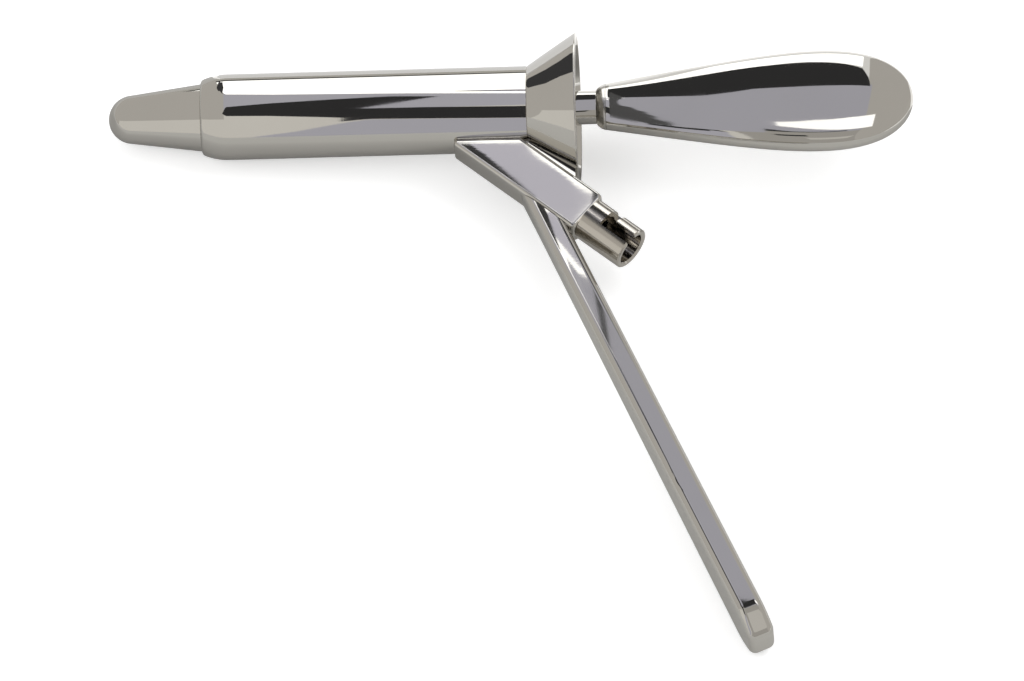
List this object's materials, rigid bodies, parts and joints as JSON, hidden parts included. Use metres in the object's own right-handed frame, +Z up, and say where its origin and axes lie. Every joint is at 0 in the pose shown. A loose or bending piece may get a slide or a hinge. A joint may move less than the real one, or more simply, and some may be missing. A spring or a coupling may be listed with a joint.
{
  "type": "anal speculum",
  "caption": "Rigid tubular speculum with flared viewing mouth, side light socket and flat bar handle, holding a bullet-nosed obturator that draws out along the tube.",
  "frame": {"origin": "on the tube's axis, in the plane of the viewing mouth", "axes": "+X out of the viewing mouth along the tube's axis, +Z up out of the plane of tube and handle as it lies on its side, handle towards -Y"},
  "size_m": [0.2061, 0.1761, 0.0388],
  "materials": {
    "tube_chrome": "mirror polished, fine handling scratches",
    "cone_chrome": "mirror polished outside and inside",
    "housing_chrome": "mirror polished flat faces, eased edges",
    "socket_chrome": "polished outside, darker bore",
    "handle_chrome": "mirror polished flats, rounded edges",
    "nose_chrome": "satin polished",
    "rod_chrome": "polished, turned",
    "grip_chrome": "mirror polished with fine scratches"
  },
  "bodies": {
    "speculum": {"speculum_tube": "tube_chrome", "viewing_cone": "cone_chrome", "light_housing": "housing_chrome", "light_socket": "socket_chrome", "handle_bar": "handle_chrome"},
    "obturator": {"obturator_nose": "nose_chrome", "obturator_rod": "rod_chrome", "grip_ferrule": "rod_chrome", "obturator_grip": "grip_chrome"}
  },
  "joints": [
    {"name": "obturator_slide", "type": "slide", "parent": "speculum", "child": "obturator", "axis": [1, 0, 0], "range_m": [0, 0.13]}
  ]
}
